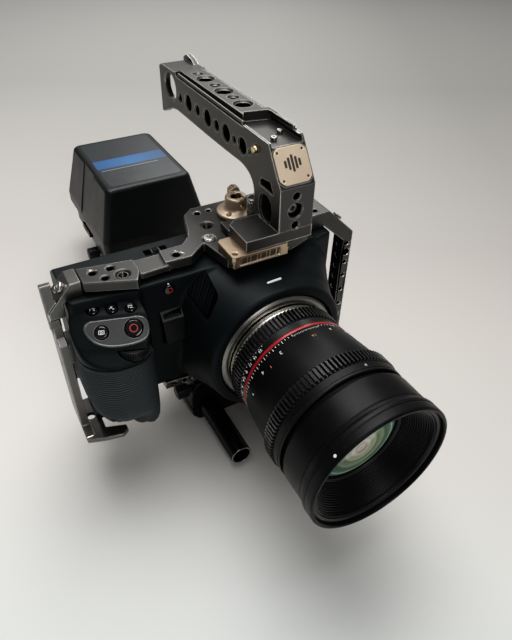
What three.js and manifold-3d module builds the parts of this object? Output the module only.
// Cinema camera rig: a full cage round a camera body with a cine lens, a top handle on a short
// rail, an accessory holder, a base with two 15 mm rods, and a battery lying flat on a plate behind.
// Millimetres. Shapes are built about the lens flange centre: the lens points along -Y, +Z is up,
// the hand grip is on the -X side and +X is the "far" side. The exported group moves the origin to
// the middle of the rod base's underside.
import * as THREE from 'three';
import { mergeVertices } from 'three/addons/utils/BufferGeometryUtils.js';
import Module from 'manifold-3d';

const wasm = await Module();
wasm.setup();

// ---- driving dimensions ----
const GAP = 0.3;                // clearance between neighbouring pieces
const MID_X = 2.5;              // middle of the base, rods and battery
const FLOOR = -96;              // underside of the rod base
const BASE_Y0 = 50, BASE_Y1 = 106;
const ROD_R = 7.5, ROD_WALL = 1.3, ROD_PITCH = 60, ROD_Z = -84;
const ROD_Y0 = -2, ROD_Y1 = 300, ROD_FIT = 0.08;
const GRIP_ROD_X = MID_X - ROD_PITCH / 2, FAR_ROD_X = MID_X + ROD_PITCH / 2;
const CAGE_TOP = 56, CAGE_UNDER = CAGE_TOP - 6;        // top plate faces
const CAGE_BOT = -46, CAGE_FLOOR = CAGE_BOT - 6.3;     // bottom plate faces
const BAR_IN = 75.5, BAR_OUT = 82.7, BAR_Y0 = 46.5, BAR_Y1 = 57.5;
const BODY_X0 = -108, BODY_X1 = 72, BODY_TOP = 48, BODY_BOT = -45;
const SPLIT_Y = 62, BODY_REAR = 96, WALL = 2.6;
const NOSE_R = 44.5, MOUNT_R = 38.5, LENS_FRONT = -96.6;
const RAIL_X0 = -21, RAIL_X1 = 15, RAIL_Y0 = 21, RAIL_Y1 = 42, RAIL_TOP = 61.2;
const HANDLE_X0 = 8, HANDLE_X1 = 30, HANDLE_TOP = 117, HANDLE_REAR = 188.5;
const HANDLE_MID_X = (HANDLE_X0 + HANDLE_X1) / 2;
const BATTERY_TOP = 10, BATTERY_BOT = -48, BATTERY_Y0 = 214, BATTERY_Y1 = 332;
const BATTERY_HALF = 98 / 2, BATTERY_TOP_HALF = 77 / 2;
const RING = 32;                // facets round each lens ring

// ---- solids ----
function solid(geometry) { // welded, with its faces turned outwards
  geometry.deleteAttribute('normal');
  geometry.deleteAttribute('uv');
  const { index, attributes: { position } } = mergeVertices(geometry, 1e-4);
  const tri = [];
  for (let i = 0; i < index.count; i += 3) {
    const [a, b, c] = index.array.slice(i, i + 3);
    if (a !== b && b !== c && a !== c) tri.push(a, b, c);
  }
  const corner = (i) => new THREE.Vector3().fromBufferAttribute(position, tri[i]);
  let volume = 0;
  for (let i = 0; i < tri.length; i += 3) {
    volume += corner(i).dot(corner(i + 1).cross(corner(i + 2)));
  }
  if (volume < 0) {
    for (let i = 0; i < tri.length; i += 3) [tri[i + 1], tri[i + 2]] = [tri[i + 2], tri[i + 1]];
  }
  return new wasm.Manifold(new wasm.Mesh({
    numProp: 3, vertProperties: new Float32Array(position.array), triVerts: new Uint32Array(tri),
  }));
}
function toGeometry(m) {
  const { vertProperties, triVerts } = m.getMesh();
  const indexed = new THREE.BufferGeometry();
  indexed.setAttribute('position', new THREE.BufferAttribute(vertProperties, 3));
  indexed.setIndex(new THREE.BufferAttribute(triVerts, 1));
  const flat = indexed.toNonIndexed();
  flat.computeVertexNormals();
  return flat;
}
// join and cut take solids or lists of solids
const join = (first, ...rest) => rest.flat().reduce((a, b) => a.add(b), first);
const cut = (first, ...rest) => rest.flat().reduce((a, b) => a.subtract(b), first);
const largest = (m) => m.decompose().sort((a, b) => b.volume() - a.volume())[0];

function box(x0, x1, y0, y1, z0, z1) {
  return solid(new THREE.BoxGeometry(x1 - x0, y1 - y0, z1 - z0)
    .translate((x0 + x1) / 2, (y0 + y1) / 2, (z0 + z1) / 2));
}

// Prisms are named after the plane of their outline; bevel chamfers both ends.
function extrude(points, depth, bevel) {
  return new THREE.ExtrudeGeometry(new THREE.Shape(points.map(([a, b]) => new THREE.Vector2(a, b))), {
    depth: depth - 2 * bevel, bevelEnabled: bevel > 0, bevelSize: bevel,
    bevelThickness: bevel, bevelSegments: 1, bevelOffset: -bevel,
  }).translate(0, 0, bevel);
}
const basis = (...axes) =>
  new THREE.Matrix4().makeBasis(...axes.map((axis) => new THREE.Vector3(...axis)));
const TO_XZ = basis([1, 0, 0], [0, 0, 1], [0, -1, 0]);
const TO_YZ = basis([0, 1, 0], [0, 0, 1], [1, 0, 0]);
const prismXY = (points, z0, z1, bevel = 0) =>
  solid(extrude(points, z1 - z0, bevel).translate(0, 0, z0));
const prismXZ = (points, y0, y1, bevel = 0) =>
  solid(extrude(points, y1 - y0, bevel).applyMatrix4(TO_XZ).translate(0, y1, 0));
const prismYZ = (points, x0, x1, bevel = 0) =>
  solid(extrude(points, x1 - x0, bevel).applyMatrix4(TO_YZ).translate(x0, 0, 0));

// Cylinder or cone: (a, b) is (y, z) on axis X, (x, z) on axis Y and (x, y) on axis Z.
const facetsFor = (r) => (r < 2.3 ? 8 : r < 3.4 ? 12 : r < 5 ? 16 : r < 9 ? 24 : 32);
function cyl(axis, a, b, from, to, r, endR = r, facets = facetsFor(r)) {
  const g = new THREE.CylinderGeometry(endR, r, to - from, facets);
  const mid = (from + to) / 2;
  if (axis === 'X') g.rotateZ(-Math.PI / 2).translate(mid, a, b);
  else if (axis === 'Y') g.translate(a, mid, b);
  else g.rotateX(Math.PI / 2).translate(a, b, mid);
  return solid(g);
}
const hex = (axis, a, b, from, to, r) => cyl(axis, a, b, from, to, r, r, 6);

// Outline of [radius, y] turned about the lens axis; closed up unless it starts on the axis.
function lathe(outline, facets = RING) {
  const points = outline[0][0] > 0 ? [...outline, outline[0]] : outline;
  return solid(new THREE.LatheGeometry(points.map(([r, y]) => new THREE.Vector2(r, y)), facets));
}

// Skin over closed sections of equal point count, capped at both ends.
function loft(sections) {
  const n = sections[0].length, last = sections.length - 1;
  const positions = [];
  const point = (s, i) => sections[s][i % n];
  const triangle = (a, b, c) => positions.push(...a, ...b, ...c);
  const centre = (s) => sections[s].reduce((sum, p) => sum.map((v, k) => v + p[k] / n), [0, 0, 0]);
  for (let s = 0; s < last; s++) {
    for (let i = 0; i < n; i++) {
      triangle(point(s, i), point(s, i + 1), point(s + 1, i + 1));
      triangle(point(s, i), point(s + 1, i + 1), point(s + 1, i));
    }
  }
  for (let i = 0; i < n; i++) {
    triangle(point(0, i + 1), point(0, i), centre(0));
    triangle(point(last, i), point(last, i + 1), centre(last));
  }
  const g = new THREE.BufferGeometry();
  g.setAttribute('position', new THREE.BufferAttribute(new Float32Array(positions), 3));
  return solid(g);
}

function aim(m, origin, normal) { // put a solid built on +Z at origin, pointing along normal
  const turn = new THREE.Quaternion().setFromUnitVectors(
    new THREE.Vector3(0, 0, 1), new THREE.Vector3(...normal).normalize());
  const place = new THREE.Matrix4().compose(
    new THREE.Vector3(...origin), turn, new THREE.Vector3(1, 1, 1));
  return m.transform(place.elements);
}

// ---- outlines ----
function arc(cx, cy, r, fromDeg, toDeg, steps) {
  return Array.from({ length: steps + 1 }, (_, i) => {
    const angle = (fromDeg + (toDeg - fromDeg) * i / steps) * Math.PI / 180;
    return [cx + r * Math.cos(angle), cy + r * Math.sin(angle)];
  });
}
const rounded = (x0, x1, y0, y1, r, steps = 4) => [
  ...arc(x1 - r, y0 + r, r, -90, 0, steps), ...arc(x1 - r, y1 - r, r, 0, 90, steps),
  ...arc(x0 + r, y1 - r, r, 90, 180, steps), ...arc(x0 + r, y0 + r, r, 180, 270, steps)];
const scaled = (outline, k) => outline.map(([a, b]) => [a * k, b * k]);

// ---- materials and group ----
const MATERIALS = {
  cage: { color: 0x4b4743, roughness: 0.42, metalness: 0.9 },
  bronze: { color: 0xb39a7c, roughness: 0.38, metalness: 1 },
  holder: { color: 0x7d6450, roughness: 0.45, metalness: 1 },
  shell: { color: 0x1b1e20, roughness: 0.6, metalness: 0 },
  rubber: { color: 0x24282a, roughness: 0.85, metalness: 0 },
  steel: { color: 0xb8b4aa, roughness: 0.25, metalness: 1 },
  lens: { color: 0x17181a, roughness: 0.45, metalness: 0.6 },
  glass: { color: 0x3c5a48, roughness: 0.05, metalness: 0 },
  screen: { color: 0x0b0c0e, roughness: 0.08, metalness: 0 },
  pcb: { color: 0x1f5a38, roughness: 0.6, metalness: 0 },
  alu: { color: 0x8d9094, roughness: 0.45, metalness: 0.9 },
  battery: { color: 0x2a2c2e, roughness: 0.5, metalness: 0 },
  black: { color: 0x0e0f10, roughness: 0.35, metalness: 0.2 },
  brass: { color: 0xb59a5a, roughness: 0.35, metalness: 1 },
  plate: { color: 0x202224, roughness: 0.5, metalness: 0.5 },
};
for (const key of Object.keys(MATERIALS)) {
  MATERIALS[key] = new THREE.MeshStandardMaterial(MATERIALS[key]);
}
const rig = new THREE.Group();
const aboutFlange = new THREE.Group();
aboutFlange.position.set(-MID_X, -(BASE_Y0 + BASE_Y1) / 2, -FLOOR);
rig.add(aboutFlange);
function piece(name, material, m) {
  const mesh = new THREE.Mesh(toGeometry(m), MATERIALS[material]);
  mesh.name = name;
  aboutFlange.add(mesh);
}

// ================= lens =================
// name, material, outline as [radius, y], facets where not RING
const LENS_PARTS = [
  ['lens_rear_barrel', 'lens', [[20, 6], [24.5, 6], [24.5, 0.6], [33.7, 0.6], [33.7, -3.4],
    [32, -3.6], [32, -19.4], [35.9, -19.6], [35.9, -21.6], [39, -49.8], [37.6, -50.2],
    [37.6, -66], [29, -57], [29, -30], [20, -26]]],
  ['aperture_ring', 'lens', [[32.3, -4.2], [35.4, -4.2], [36.2, -5], [36.2, -14],
    [35.2, -15.4], [35.2, -19.1], [32.3, -19.1]]],
  ['focus_ring', 'lens', [[37.9, -50.5], [41, -50.7], [41, -58.6], [40.2, -59.2],
    [40.2, -65.7], [37.9, -65.7]]],
  ['front_barrel', 'lens', [[34.5, -66.3], [38.6, -66.3], [38.6, -68.4], [40.2, -69],
    [40.4, -87], [41.2, -87.8], [41.6, -89], [41.6, LENS_FRONT + 0.8], [41, LENS_FRONT],
    [39.6, LENS_FRONT], [39.2, -94.6], [39.2, -92.3], [36.5, -92.3], [36.5, -70], [34.5, -70]]],
  ['lens_baffle', 'black', [[38.9, -94.3], [38.9, -92.6], [36.2, -92.6], [36.2, -74],
    [26.2, -74], [26.2, -77.4], [37.9, -94.3]]],
  ['front_glass', 'glass', [[0, -66], [25.7, -66], [25.9, -72], [25.9, -76.2], [22, -77.6],
    [16, -79], [8, -80.2], [0, -80.6]], 28],
  ['iris_ring', 'black', [[9, -40], [28.5, -40], [28.5, -37.5], [9, -38.6]]],
  ['rear_glass', 'glass', [[0, -16], [19.6, -14], [19.6, -6], [12, -3.2], [0, -2]], 24],
];
for (const [name, material, outline, facets] of LENS_PARTS) {
  piece(name, material, lathe(outline, facets));
}

// ================= body front and grip =================
// [x, y]: flat rear at the split, front face stepping back on the far side
const BODY_PLAN = [
  [BODY_X0, 40], [-78, 37], [-44, 36], [44, 36], [58, 40], [66, 50], [BODY_X1, 59],
  [BODY_X1, SPLIT_Y], [BODY_X0, SPLIT_Y]];
// Nose sections: y, half widths to the grip and far side, height above and below, power.
const NOSE = [
  [2, NOSE_R - 2, NOSE_R - 2, NOSE_R - 2, NOSE_R - 2, 2],
  [3.6, NOSE_R, NOSE_R, NOSE_R - 0.5, NOSE_R, 2.05],
  [12, NOSE_R + 0.5, 46, 45, 44.5, 2.3],
  [24, 46, 50, 46.5, 44.8, 2.9],
  [38, 49, 56, 47.6, 45, 4.2],
  [52, 52, 58, 47.8, 45, 5],
];
function superellipse([y, gripHalf, farHalf, above, below, power], steps = 36) {
  const rootOf = (v) => Math.sign(v) * Math.abs(v) ** (2 / power);
  return Array.from({ length: steps }, (_, i) => {
    const angle = 2 * Math.PI * i / steps;
    const x = rootOf(Math.cos(angle)), z = rootOf(Math.sin(angle));
    return [x * (x > 0 ? farHalf : gripHalf), y, z * (z > 0 ? above : below)];
  });
}

// Shapes in the grip's own frame are turned about a vertical axis through the pivot.
const GRIP_YAW = -20 * Math.PI / 180, PIVOT_X = -90, PIVOT_Y = 30;
const gripTurn = new THREE.Matrix4().makeTranslation(PIVOT_X, PIVOT_Y, 0)
  .multiply(new THREE.Matrix4().makeRotationZ(GRIP_YAW))
  .multiply(new THREE.Matrix4().makeTranslation(-PIVOT_X, -PIVOT_Y, 0));
// outline is [y, z] before the turn; x0 and x1 are measured from the pivot
const gripPrism = (outline, x0, x1) =>
  prismYZ(outline, x0, x1).translate(PIVOT_X, 0, 0).transform(gripTurn.elements);

// [x, y]
const GRIP_PLAN = [
  [-71, 44], [-71.2, 24], [-73.4, 17.5], [-79, 12.8], [-88, 11.6], [-97, 13], [-105, 18],
  [-110, 25], [-111.6, 33], [-110.5, 39.5], [-108.4, 44], [-107.8, 60]];
const gripInner = GRIP_PLAN.map(([x, y]) => [
  x < -90 ? x + 2.3 : x - (x > -75 ? 2.2 : 0),
  y < 30 ? y + 2.3 : y]);
// sloping button deck: everything above it
const aboveDeck = gripPrism([
  [60, 49.6], [41, 47.2], [40.4, 40.9], [33.6, 39.4], [20.3, 26.9], [19.5, 25], [13, 19.9],
  [4, 19], [-20, 19], [-20, 80], [60, 80]], -60, 60);
// seam between the hard head and the soft cover: everything below it
const belowSeam = gripPrism([
  [-40, -80], [90, -80], [90, 18.4], [34, 18.4], [14, 17.4], [-40, 16]], -70, 60);
// cutter that rounds the grip's lower front
const chin = join(
  prismYZ([[-10, -60], [-10, -24], [13, -24], [16.5, -28.3], [22, -35], [28, -40.5],
    [34, -44.5], [36, -45.2], [70, -45.2], [70, -60]], -130, -60),
  prismYZ([[-60, -60], [-60, -13], [-20.5, -13], [-19, -19], [-17.5, -23], [-15, -30],
    [-12.5, -36], [-9, -42.5], [-7, -45.2], [10, -45.2], [10, -60]], -60, 60)
    .rotate([0, 0, -62]).translate(PIVOT_X, PIVOT_Y, 0));
const gripCore = cut(prismXY(gripInner, BODY_BOT + 1.5, BODY_TOP), aboveDeck);
const gripHead = cut(prismXY(GRIP_PLAN, 17, BODY_TOP), aboveDeck, belowSeam);

// chamfer of the body's upper far edge
const farShoulder = prismXZ(
  [[44, 45.6], [57.7, 45.6], [72.2, 31.6], [90, 31.6], [90, 70], [44, 70]], -10, 120);

const VENT_AT = [-37, 32, 36], VENT_NORMAL = [-0.449, -0.778, 0.439];
const VENT_OUTLINE = [[8.8, 10.3], [-6.6, 4.2], [-3.5, -15.7], [9.7, -5.4]];
const WHEEL_X = -82.3, WHEEL_Y = 21.2, WHEEL_R = 8.8;
const RECORD_X = -53.5, RECORD_Z = 41.5;
const DECK_NORMAL = [0, -0.215, 0.977], PANEL_NORMAL = [0, -0.685, 0.729];
// Grip buttons: name, [x from the pivot, y, z] and normal in the grip's frame, radius.
const BUTTONS = [
  ['iso_button', [-9.45, 36.6, 40], DECK_NORMAL, 2.9],
  ['shutter_button', [0.66, 36.6, 40], DECK_NORMAL, 2.9],
  ['white_balance_button', [10.68, 36.6, 40], DECK_NORMAL, 2.9],
  ['record_button', [11.7, 27.3, 33.3], PANEL_NORMAL, 4.6],
  ['stills_button', [-5.3, 26.6, 32.7], PANEL_NORMAL, 3.4],
];
function onGrip(m, [x, y, z], normal) {
  const origin = new THREE.Vector3(PIVOT_X + x, y, z).applyMatrix4(gripTurn);
  return aim(m, origin, new THREE.Vector3(...normal).transformDirection(gripTurn));
}

function bodyFront() {
  const block = prismXY(BODY_PLAN, BODY_BOT, BODY_TOP);
  const lowerSlope = prismYZ([[30, -6], [36, -6], [50, -45], [50, -50], [30, -50]], -73, 90);
  const outer = join(cut(block, lowerSlope), loft(NOSE.map((row) => superellipse(row))),
    cut(gripCore, chin.translate(0, 1.6, 1.2)), gripHead);
  return cut(outer,
    farShoulder,
    box(-130, -97.4, 45.4, 61, 45.2, 70),   // shoulder on the grip side
    // main chamber, in three steps
    box(-66, BODY_X1 - WALL - 8, 41, SPLIT_Y + 1, -4, 42.6),
    box(-66, BODY_X1 - WALL - 8, 53.5, SPLIT_Y + 1, BODY_BOT + WALL, 42.6),
    box(-66, BODY_X1 - WALL - 2, 60, SPLIT_Y + 1, BODY_BOT + WALL, 28),
    cyl('Y', 0, 0, 1, 50, 34.3),            // light path
    // cell pocket and its door seat
    box(-101.8, -80.8, 36.2, 59.6, BODY_BOT - 2, 13.2),
    box(-102.2, -80.2, 35.8, 59.9, BODY_BOT - 2, -43.4),
    cyl('Y', 0, 0, 1, 8.2, MOUNT_R + 0.4),  // mount seat
    aim(prismXY(scaled(VENT_OUTLINE, 1.05), -3, 20), VENT_AT, VENT_NORMAL),
    cyl('Y', RECORD_X, RECORD_Z, 30, 40.2, 3.4),
    box(-61, -47.2, 30, 39.4, 2.7, 27.6),   // lens release pocket
    BUTTONS.map(([, at, normal, r]) => onGrip(cyl('Z', 0, 0, -3.4, 6, r + 0.35), at, normal)),
    cyl('Z', WHEEL_X, WHEEL_Y, 19.6, 24, WHEEL_R + 0.5));
}
const front = bodyFront();
piece('body_front', 'shell', largest(front));
piece('control_wheel', 'black', cyl('Z', WHEEL_X, WHEEL_Y, 20.1, 23.5, WHEEL_R));

// soft skin round the grip, hollowed and trimmed to its neighbours
function gripCover() {
  const skin = cut(prismXY(GRIP_PLAN, BODY_BOT, 20), aboveDeck).intersect(belowSeam);
  const hollow = cut(box(-130, -60, 0, 100, BODY_BOT + 1.2, 40), chin.translate(0, 1.3, 0.9));
  return cut(skin, chin,
    prismXY(gripInner, -80, 30).intersect(hollow),
    box(-130, -60, 43.5, 120, -100, 60),
    box(-102.2, -80.2, 35.8, 60, -60, 13.2),
    prismXY(BODY_PLAN, -80, 80),
    gripHead.translate(0, 0, -GAP),
    front);
}
piece('grip_cover', 'rubber', largest(gripCover()));

for (const [name, at, normal, r] of BUTTONS) {
  const button = join(cyl('Z', 0, 0, -1.6, 0.9, r), cyl('Z', 0, 0, 0.8, 1.3, r, r * 0.82));
  piece(name, 'black', onGrip(button, at, normal));
}
piece('front_record_button', 'black', cyl('Y', RECORD_X, RECORD_Z, 35.2, 38.4, 3.1));
piece('lens_release', 'black', join(
  box(-60.7, -47.5, 35.4, 37.3, 3, 27.3),
  prismYZ([[37.2, 22], [37.2, 27], [33.2, 27], [34.4, 22]], -60.7, -47.5)));

const ventSlots = [-9, -5, -1, 3, 7].map((y) =>
  box(-16, 16, y - 0.55, y + 0.55, -1.2, 1).rotate([0, 0, 43]));
piece('side_vent', 'shell',
  aim(cut(prismXY(VENT_OUTLINE, -2.6, -0.2), ventSlots), VENT_AT, VENT_NORMAL));
piece('lens_mount', 'steel', lathe([
  [26, 8], [MOUNT_R, 8], [MOUNT_R, 3], [37, 1.6], [34.2, 1], [34.2, 2.4], [26, 2.4]]));

// ================= body rear =================
const MENU_X = 56, MENU_Z = 20;
function bodyRear() {
  const plan = [
    [BODY_X0, SPLIT_Y + GAP], [BODY_X1, SPLIT_Y + GAP], [BODY_X1, 90],
    [BODY_X1 - 5, BODY_REAR], [BODY_X0 + 7, BODY_REAR], [BODY_X0, 88]];
  return cut(prismXY(plan, BODY_BOT, BODY_TOP),
    farShoulder,
    prismYZ([[76, 48.01], [97, 33], [97, 60], [76, 60]], -140, 140),   // upper rear slope
    // hollow
    box(-70, BODY_X1 - WALL, SPLIT_Y - 1, 91.5, BODY_BOT + WALL, 30),
    box(-70, 56, SPLIT_Y - 1, 75, 29, 42.6),
    box(-103, -72, SPLIT_Y - 1, 85, -38, 40),
    // screen seat and window
    prismXZ(rounded(-84, 40, -38, 29.5, 3), 93.2, 98),
    prismXZ(rounded(-78, 34, -33, 25, 2), 91, 98),
    cyl('Y', MENU_X, MENU_Z, 93.2, 98, 4.4),
    // port cover seat and opening
    box(BODY_X1 - 1.8, BODY_X1 + 1, 66, 88, -34, 32),
    box(BODY_X1 - 6, BODY_X1 + 1, 70, 85, -30, 28),
    [-52, -44, -36, -28, -20].map((x) => box(x, x + 4, 79, 82.5, 30, 50)),   // top slots
    box(-56, -42, 64.2, 70.2, 44.6, 60));   // power switch pocket
}
piece('body_rear', 'shell', largest(bodyRear()));
piece('screen', 'screen', prismXZ(rounded(-83.6, 39.6, -37.6, 29.1, 2.8), 93.5, 95.6));
piece('menu_button', 'black', cyl('Y', MENU_X, MENU_Z, 94.6, 97.2, 4.1));
piece('port_cover', 'rubber', join(
  box(BODY_X1 - 1.5, BODY_X1 + 0.3, 66.3, 87.7, -33.7, 31.7),
  box(BODY_X1 - 5, BODY_X1 - 1.4, 70.5, 83, -29.5, 27.5)));
piece('power_switch', 'black', join(
  box(-50.5, -47.5, 65, 69.4, 45, 49.4), box(-52, -46, 64.8, 69.6, 46.2, 48.2)));

// ================= inside the body =================
piece('battery_door', 'shell', box(-101.8, -80.6, 36.2, 59.5, BODY_BOT - 0.3, BODY_BOT + 1.2));
piece('camera_cell', 'battery', box(-101.4, -81.2, 36.6, 59.2, -42.6, 12.6));
piece('image_sensor', 'screen', join(
  box(-14, 14, 44, 46.4, -10, 10), box(-20, 20, 46.3, 48.4, -16, 16)));
piece('main_board', 'pcb', join(
  box(-60, 54, 64, 65.8, -36, 38),
  box(-12, 12, 62.4, 64.2, -12, 12),
  box(-46, -30, 65.6, 67.6, 4, 20)));
piece('heat_sink', 'alu', join(
  box(-24, 34, 68.2, 70.2, -24, 26),
  [-22, -16, -10, -4, 2, 8, 14, 20, 26, 31].map((x) => box(x, x + 1.6, 70, 77, -24, 26))));
const FAN_X = 5, FAN_Z = 1;
piece('cooling_fan', 'black', join(
  cyl('Y', FAN_X, FAN_Z, 79, 87, 8),
  [0, 60, 120, 180, 240, 300].map((angle) =>
    box(7, 21, 80, 86, -0.8, 0.8).rotate([0, angle, 0]).translate(FAN_X, 0, FAN_Z))));

// ================= cage =================
const topHole = ([x, y, r]) => cyl('Z', x, y, 40, 70, r);
const DISC_X = -20.2, DISC_Y = 53.3;
// [x, y]
const TOP_PLAN = [
  [-20.5, 28], [22, 28], [36, 33], [46, 46.5], [46, 90], [-16, 90], [-23, 84], [-27.6, 68.4],
  [-30.5, 61], [-37, 54.6], [-51.4, 54.6], [-52.5, 42], [-36.6, 40.9], [-25, 49.8]];
const TOP_BRIDGE = [[-70, 55.4], [-70, 41.6], [-66, 40.8], [-50, 41.4], [-50, 55]];
const TOP_WING = [[-98, 43.9], [-71.2, 33.5], [-67.1, 41.6], [-67.2, 53.2], [-98, 58.6]];
// [x, y, radius]
const TOP_HOLES = [
  [-14.4, 82.8, 1.9], [-6.7, 83, 1.4], [-15, 67, 3.6], [-43.8, 46.8, 2.3], [-90.7, 51, 1.9],
  [-80.8, 51, 1.9], [-86, 43.6, 1.6], [-76.4, 42.8, 3.3], [28, 84, 3.6], [38, 78, 1.9],
  [DISC_X, DISC_Y, 3.9], [38, 60, 3.6], [38, 50, 1.9]];
piece('cage_top', 'cage', cut(
  join(prismXY(TOP_PLAN, CAGE_UNDER, CAGE_TOP, 0.6),
    prismXY(TOP_BRIDGE, CAGE_UNDER, CAGE_TOP - 2.4),
    prismXY(TOP_WING, 49.8, CAGE_TOP, 0.6)),
  TOP_HOLES.map(topHole)));
piece('top_disc_screw', 'steel', join(
  cyl('Z', DISC_X, DISC_Y, 51, 55.6, 2.6),
  cut(cyl('Z', DISC_X, DISC_Y, 55, 56.9, 3.6, 3.3), hex('Z', DISC_X, DISC_Y, 56, 58, 1.4))));

// side plate by the grip: corner block, notched plate, foot under the grip
function cageGripSide() {
  const outX = -118;
  const corner = prismXZ([[-98.3, 56], [-104.6, 56], [outX, 41.4], [outX, 36],
    [-109.4, 36], [-109.4, 45.6], [-98.3, 45.6]], 46, 60, 0.5);
  const plate = prismYZ([[47, 42], [62, 42], [62, -48.9], [34, -48.9], [30, -47.5],
    [30, -45.6], [40, -45.6], [42.4, -30], [42.4, 19], [47.5, 22]], outX, -113);
  const upperPad = prismYZ([[44, 19], [56, 19], [56, 5.5], [42.4, 5.5], [42.4, 15]], -114, -109.3);
  const lowerPad = prismYZ([[44.5, 6], [56, 6], [56, -9.4], [44.5, -9.4]], -114, -110.4);
  const foot = prismXY([[outX, 28], [-108, 24.6], [-97, 22.5], [-93, 25], [-93, 29],
    [-104.8, 33], [-104.8, 60], [-107, 62], [outX, 62]], -48.9, -45.7, 0.4);
  const holes = [[53.5, 50, 2.2], [52, -20, 1.9], [52, -34, 1.9], [53, 0, 3.2]]; // y, z, radius
  return cut(
    join(corner, box(-119.4, -113.4, 46.2, 49.6, 30, 59), plate, upperPad, lowerPad, foot),
    holes.map(([y, z, r]) => cyl('X', y, z, -125, -100, r)),
    prismYZ(rounded(49, 57, 22, 33, 3), -125, -100),
    cyl('Z', -110.5, 46, -60, -40, 2.6));
}
piece('cage_grip_side', 'cage', cageGripSide());
piece('corner_bolt_grip_side', 'steel', aim(
  cut(cyl('Z', 0, 0, 0, 2.4, 3.4), hex('Z', 0, 0, 1, 4, 1.6)),
  [-108.6, 51.2, 51.85], [-0.737, 0, 0.676]));

// vertical bar on the far side, with its chamfered shoulder
const FAR_BOLT_AT = [71.2, 52, 46.4], FAR_NORMAL = [0.695, 0, 0.72];
function cageFarSide() {
  const bar = prismXZ([[46.3, CAGE_TOP], [46.3, 46], [58, 46], [BAR_IN, 30],
    [BAR_IN, CAGE_FLOOR], [BAR_OUT, CAGE_FLOOR], [BAR_OUT, 35.3], [61.3, CAGE_TOP]],
  BAR_Y0, BAR_Y1, 0.6);
  const shoulder = prismXZ([[46.3, CAGE_TOP], [46.3, CAGE_UNDER], [60.2, CAGE_UNDER],
    [78.2, 32.4], [BAR_OUT, 32.4], [BAR_OUT, 35.3], [61.3, CAGE_TOP]], BAR_Y1 - 1, 89);
  const frontHoles = [[79, 26.8, 1.5], [79, 19.5, 2.7],
    ...[11.3, 0, -12.4, -25.5, -36.3, -45].map((z) => [79.1, z, 1.4])];   // x, z, radius
  const slopeHoles = [[FAR_BOLT_AT, 2.2], [[72, 66, 45.6], 3.2], [[72, 80, 45.6], 2.2]];
  return cut(join(bar, shoulder),
    frontHoles.map(([x, z, r]) => cyl('Y', x, z, 40, 62, r)),
    [24, 15, 6, -3, -12, -21, -30, -39].map((z) => cyl('X', 52, z, 70, 90, 1.6)),
    [[53, 52, 1.8], [55, 64, 3.2], [55, 78, 1.9]].map(topHole),
    slopeHoles.map(([at, r]) => aim(cyl('Z', 0, 0, -8, 6, r), at, FAR_NORMAL)));
}
piece('cage_far_side', 'cage', cageFarSide());
piece('corner_bolt_far_side', 'steel', aim(
  cut(join(cyl('Z', 0, 0, 0.3, 1.9, 3.2), cyl('Z', 0, 0, -3, 0.6, 1.9)),
    hex('Z', 0, 0, 0.9, 4, 1.5)),
  FAR_BOLT_AT, FAR_NORMAL));

const BOTTOM_PLAN = [[-58, 50], [-30, 48], [75.2, 48], [75.2, 92], [-50, 92], [-58, 84]];
piece('cage_bottom', 'cage', cut(prismXY(BOTTOM_PLAN, CAGE_FLOOR, CAGE_BOT, 0.6),
  [-51.5, -44.5, -37.5].map((x) => cyl('Y', x, -49.2, 44, 56, 1.7)),
  cyl('Z', -46, 66, -60, -40, 3.3), prismXY(rounded(-51, -41, 76, 82, 2.9), -60, -40),
  cyl('Z', 60, 60, -60, -40, 3.3), prismXY(rounded(56, 64, 72, 86, 3.5), -60, -40)));

// ================= accessory rail =================
const RAIL_PLAN = [
  [RAIL_X0 + 1.5, RAIL_Y0], [RAIL_X1 - 1.5, RAIL_Y0], [RAIL_X1, RAIL_Y0 + 1.5],
  [RAIL_X1, RAIL_Y1 - 2], [RAIL_X1 - 2, RAIL_Y1], [RAIL_X0 + 2, RAIL_Y1],
  [RAIL_X0, RAIL_Y1 - 2], [RAIL_X0, RAIL_Y0 + 1.5]];
piece('accessory_rail', 'bronze', cut(
  join(prismXY(RAIL_PLAN, CAGE_TOP + GAP, RAIL_TOP, 0.5),
    box(RAIL_X0 + 0.5, RAIL_X1 - 0.5, RAIL_Y0, 27.6, 53.5, 58)),
  prismYZ([[43, 57.6], [43, 59.6], [39.8, 58.6]], -30, 30),
  cyl('Z', -17.6, 25, 59, 70, 1.2),
  box(-17, 9, RAIL_Y0 - 1, RAIL_Y0 + 0.5, 55.4, 59.4)));

// ================= top handle =================
const FOOT_Z = RAIL_TOP + GAP;
// [y, z]: foot, post, curved knee, long grip with a flared rear end
const HANDLE_OUTLINE = [
  [21.6, FOOT_Z], [50.3, FOOT_Z], [50.3, 76], [51.2, 83.8], [53.2, 87], [56.7, 89.4],
  [61.5, 91.2], [67.7, 92], [77.8, 91.6], [111, 91], [160, 91], [168, 89.6], [178, 85.4],
  [184, 82.4], [HANDLE_REAR, 81.5], [HANDLE_REAR, 113.2], [184, 115.2],
  [162, HANDLE_TOP - 1.4], [158, HANDLE_TOP], [43, HANDLE_TOP + 1.6],
  [40.5, HANDLE_TOP + 1.2], [36.6, 115], [22, 94]];
// holes across the grip: [y, z, radius]
const CROSS_HOLES = [
  [154, 101, 2.6], [126.3, 102, 3.1], [98.8, 102, 3.1], [75.6, 102, 1.9],
  [140.5, 102, 4.9], [111.8, 102, 4.9], [86, 102, 4.9], [65.5, 102, 4.5]];
// holes in the grip's top: [y, radius]
const GRIP_TOP_HOLES = [[147.5, 1.9], [122, 1.9], [97.5, 1.9], [136, 4.7], [109.8, 4.7], [85, 4.7]];
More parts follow.
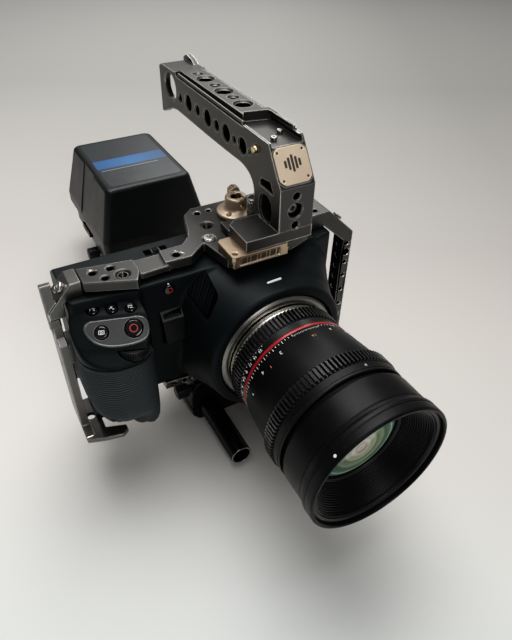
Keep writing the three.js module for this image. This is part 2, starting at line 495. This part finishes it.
// holes in the post's front: [x, z, radius]
const POST_HOLES = [[18.6, 88.6, 2.1], [18.2, 80, 4.2], [18.6, 70.9, 2.1]];
const SHOE_SCREWS = [['shoe_screw_front', 15.5, 43.5], ['shoe_screw_rear', 23.4, 50.5]];
// cover plate on the sloping knee; its top edge stays below the shoe floor
const KNEE_AT = [19, 29.4, 104.7], KNEE_NORMAL = [0, -0.822, 0.569];
const COVER_OUTLINE = [
  [-10.2, -8.2], [-7.4, -11], [7.4, -11], [10.2, -8.2],
  [10.2, 6.2], [7.4, 8.9], [-7.4, 8.9], [-10.2, 6.2]];
const PIN_Y = 49.2, PIN_Z = 106.8;
const KEY_X = HANDLE_X0 + 1.15;

function handleFrame() {
  const foot = prismXY([[-12.4, 21.6], [HANDLE_X1 - 0.6, 21.6], [HANDLE_X1 - 0.6, 46],
    [-8, 46], [-12.4, 42]], FOOT_Z, 68.6, 0.6);
  const across = (outline) => prismYZ(outline, -5, 45);
  return cut(
    join(prismYZ(HANDLE_OUTLINE, HANDLE_X0, HANDLE_X1, 0.9), foot,
      box(-11, 14, RAIL_Y1 + 0.6, 46, 56.5, 63)),
    CROSS_HOLES.map(([y, z, r]) => cyl('X', y, z, -5, 45, r)),
    box(HANDLE_X0 + 4.2, HANDLE_X1 - 4.2, 158, 200, 70, 111.5),   // hollow in the flared end
    across([...arc(171, 103.8, 8.7, -90, 90, 8), ...arc(169.4, 103.8, 8.7, 90, 270, 8)]),
    across([...arc(37.6, 77.6, 6.3, 0, 180, 8), ...arc(37.6, 74, 6.3, 180, 360, 8)]),
    across([[30, 88], [44.5, 88.5], [43, 91.5], [33.5, 93.5]]),
    GRIP_TOP_HOLES.map(([y, r]) => cyl('Z', HANDLE_MID_X, y, 105, 125, r)),
    POST_HOLES.map(([x, z, r]) => cyl('Y', x, z, 10, 36, r)),
    // shoe pocket and its open side, then the slot for the hex key
    prismXY([[9.6, 30], [27.4, 30], [27.4, 70], [12.6, 73], [9.6, 66]], 112.6, 125),
    box(HANDLE_X0 - 1, 10.2, 28, 64.2, 114.6, 125),
    box(HANDLE_X0 - 1, HANDLE_X0 + 3.2, 64, 159, 113.6, 121),
    aim(prismXY(scaled(COVER_OUTLINE, 1.03), -0.9, 6), KNEE_AT, KNEE_NORMAL),
    cyl('X', PIN_Y, PIN_Z, HANDLE_X0 - 2, HANDLE_X0 + 5.2, 2.3),
    SHOE_SCREWS.map(([, x, y]) => cyl('Z', x, y, 109.5, 114, 1.55)));
}
piece('handle_frame', 'cage', largest(handleFrame()));

const coverDimples = [[-7.6, 6.4], [7.6, 6.4], [-7.6, -8.4], [7.6, -8.4]].map(([a, b]) =>
  aim(cyl('Z', a, b, -0.1, 2, 0.75), KNEE_AT, KNEE_NORMAL));
piece('handle_cover_plate', 'bronze', cut(
  aim(prismXY(COVER_OUTLINE, -0.55, 0.5, 0.25), KNEE_AT, KNEE_NORMAL), coverDimples));
for (const [name, x, y] of SHOE_SCREWS) {
  piece(name, 'steel', join(
    cyl('Z', x, y, 109.8, 112.9, 1.25), cyl('Z', x, y, 112.8, 114.6, 1.9, 1.7)));
}
piece('handle_pin', 'brass', cut(
  cyl('X', PIN_Y, PIN_Z, HANDLE_X0 - 2.2, HANDLE_X0 + 3.6, 1.95),
  box(HANDLE_X0 - 3, HANDLE_X0 - 1.6, 48.8, 49.6, 100, 112)));
piece('hex_key', 'steel', join(
  cyl('Y', KEY_X, 115.1, 66, 157, 0.95), cyl('Z', KEY_X, 66.6, 113.85, 116, 0.85)));

const KNOB_X = 10.2, KNOB_Y = 54.9;   // upright clamp knob behind the post
const onKnob = (...size) => cyl('Z', KNOB_X, KNOB_Y, ...size);
piece('handle_clamp_jaw', 'cage', cut(box(-10, 13, 46.3, 59, 57, 60.9), onKnob(55, 63, 1.75)));
piece('handle_clamp_knob', 'cage', join(
  onKnob(61.4, 67.2, 4), onKnob(67, 68, 3.2), onKnob(67.8, 73.2, 4), onKnob(73, 74.6, 4, 3),
  onKnob(57.4, 61.6, 1.45)));

// ================= accessory holder on the top plate =================
const HOLDER_X = 7.3, HOLDER_Y = 72, THUMB_X = HOLDER_X + 3.4, THUMB_Z = 66;
const onHolder = (...size) => cyl('Z', HOLDER_X, HOLDER_Y, ...size);
const thumb = (from, to, r) => cyl('Y', THUMB_X, THUMB_Z, HOLDER_Y + from, HOLDER_Y + to, r);
piece('accessory_holder', 'holder', cut(
  join(onHolder(CAGE_TOP + GAP, 58.6, 12.1), onHolder(58.4, 59.4, 11.6, 9.4),
    onHolder(59, 67, 6.8), onHolder(66.9, 68.2, 6.8, 6)),
  onHolder(61, 80, 3.2),
  thumb(1, 9, 1.95),
  [[-7.6, -5.4], [7.6, 5.4], [7.6, -5.4]].map(([dx, dy]) =>
    cyl('Z', HOLDER_X + dx, HOLDER_Y + dy, 57.6, 62, 1.1))));
piece('holder_thumb_screw', 'holder', join(thumb(7.2, 12.4, 3.6), thumb(3.4, 7.4, 1.6)));

// ================= rod base and rods =================
// bores for both rods, and the slits that open them to the sides at x0 and x1
const rodCuts = (x0, x1, y0, y1) => [
  cyl('Y', GRIP_ROD_X, ROD_Z, y0, y1, ROD_R + ROD_FIT),
  cyl('Y', FAR_ROD_X, ROD_Z, y0, y1, ROD_R + ROD_FIT),
  box(x0, GRIP_ROD_X, y0, y1, ROD_Z - 0.8, ROD_Z + 0.8),
  box(FAR_ROD_X, x1, y0, y1, ROD_Z - 0.8, ROD_Z + 0.8)];
const BASE_TOP = CAGE_FLOOR - GAP;
// [x, z]
const BASE_OUTLINE = [
  [-40, -90], [-35, FLOOR], [42, FLOOR], [48, -90], [48, -73], [45, -70], [38, -70],
  [31, -62], [31, BASE_TOP], [-26, BASE_TOP], [-26, -57], [-36, -60], [-38, -63], [-40, -73]];
const BASE_KNOB = [55.5, -66];                   // y, z
const CLAMP_SCREW = [FAR_ROD_X + 11, 92];        // x, y
piece('rod_base', 'plate', cut(prismXZ(BASE_OUTLINE, BASE_Y0, BASE_Y1, 0.8),
  rodCuts(-44, 49, 30, 120),
  prismXZ(rounded(-12, 17, -90, -68, 4), 30, 120),
  cyl('Z', MID_X - 14, 58, -110, -88, 2.6), cyl('Z', MID_X + 14, 98, -110, -88, 4.2),
  cyl('X', ...BASE_KNOB, -46, -20, 2.5),
  cyl('Z', ...CLAMP_SCREW, -92, -60, 1.9)));
piece('base_clamp_knob', 'black', join(
  cyl('X', ...BASE_KNOB, -49.5, -41, 5.2), cyl('X', ...BASE_KNOB, -41.2, -39.7, 3.3),
  cyl('X', ...BASE_KNOB, -40, -22, 2.1)));
for (const [name, x] of [['rod_grip_side', GRIP_ROD_X], ['rod_far_side', FAR_ROD_X]]) {
  piece(name, 'black', cut(cyl('Y', x, ROD_Z, ROD_Y0, ROD_Y1, ROD_R),
    cyl('Y', x, ROD_Z, ROD_Y0 - 5, ROD_Y1 + 5, ROD_R - ROD_WALL)));
}
piece('rod_clamp_screw', 'steel', cut(
  join(cyl('Z', ...CLAMP_SCREW, -89, -69, 1.6), cyl('Z', ...CLAMP_SCREW, -69.6, -66.6, 3)),
  hex('Z', ...CLAMP_SCREW, -68.4, -65, 1.4)));

// ================= battery end =================
// [x, z]
const BRACKET_OUTLINE = [
  [-40, -90], [-34, FLOOR], [39, FLOOR], [45, -90], [45, -76],
  [38, -69], [24, -62.4], [-19, -62.4], [-33, -69], [-40, -76]];
const BRACKET_KNOB = [264, -72.6];               // y, z
piece('rod_bracket', 'plate', cut(prismXZ(BRACKET_OUTLINE, 244, 284, 0.8),
  rodCuts(-41, 46, 200, 320),
  prismXZ(rounded(-12, 17, -91, -69, 4), 200, 320),
  cyl('X', ...BRACKET_KNOB, -45, -26, 2.1)));
piece('bracket_knob', 'black', join(
  cyl('X', ...BRACKET_KNOB, -52, -42.4, 6), cyl('X', ...BRACKET_KNOB, -43, -28, 1.75)));
piece('battery_plate', 'plate', cut(
  prismXY(rounded(-44, 49, 222, 322, 6), -62, -48.6, 0.8),
  prismXY([[-14, 246], [19, 246], [27, 330], [-22, 330]], -56.4, -40),
  prismXY(rounded(-40, -24, 232, 240, 2), -70, -40),
  box(-46, -36.6, 268, 292, -58.5, -51.5)));
piece('battery_lock_button', 'black', join(
  box(-46.5, -40.6, 268.6, 291.4, -58, -52), box(-41, -39, 270, 290, -57.4, -52.6)));

// tapered block with a recess in its grip-side flank
function batteryBlock() {
  const layer = (half, y0, y1, z) =>
    rounded(MID_X - half, MID_X + half, y0, y1, 5, 2).map(([x, y]) => [x, y, z]);
  const wide = (z) => layer(BATTERY_HALF, BATTERY_Y0, BATTERY_Y1, z);
  const narrow = (z) => layer(BATTERY_TOP_HALF, 221, 324, z);
  const topEdge = layer(BATTERY_TOP_HALF - 1.4, 222.4, 322.6, BATTERY_TOP);
  return cut(
    join(loft([wide(BATTERY_BOT), wide(-36)]),
      loft([wide(-36.01), narrow(BATTERY_TOP - 1.2)]),
      loft([narrow(BATTERY_TOP - 1.21), topEdge])),
    aim(prismXY(rounded(-46, 46, -14, 14, 4), -2.2, 10),
      [MID_X - 45.2, 271, -14], [-0.973, 0, 0.229]));
}
piece('battery', 'battery', batteryBlock());
piece('battery_shoe', 'battery', prismXY(
  [[-13.4, 246.6], [18.4, 246.6], [24, 306], [-19, 306]], -56, BATTERY_BOT - GAP));

export default rig;
